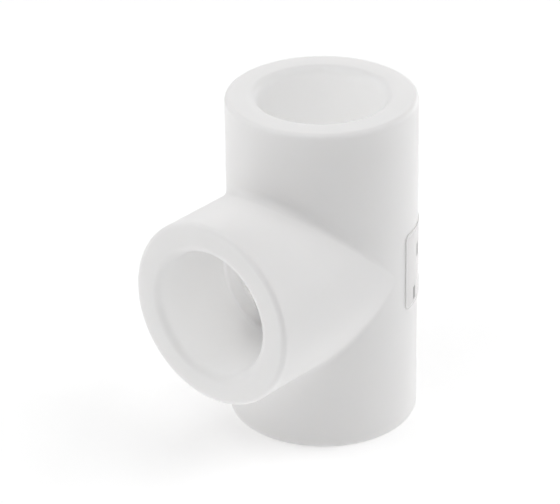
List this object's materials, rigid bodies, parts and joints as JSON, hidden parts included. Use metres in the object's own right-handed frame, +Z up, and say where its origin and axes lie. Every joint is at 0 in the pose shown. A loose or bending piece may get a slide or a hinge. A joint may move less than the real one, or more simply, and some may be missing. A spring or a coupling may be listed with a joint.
{
  "type": "tee fitting",
  "caption": "Thick-walled white plastic socket-fusion tee: a straight run with an equal branch square to it, rounded rims and a small clear label.",
  "frame": {"origin": "middle of the lower rim of the run, on the run's axis: the rim that the tee stands on; the three axes cross 26.3 mm above it", "axes": "+Z up along the run, from the lower rim to the upper one; the branch leaves along -Y; +X completes the right-handed frame"},
  "size_m": [0.029, 0.0409, 0.0526],
  "materials": {
    "white_polypropylene": "satin, as moulded",
    "label_film": "thin gloss film"
  },
  "bodies": {
    "root": {"tee_body": "white_polypropylene", "label": "label_film"}
  },
  "joints": []
}
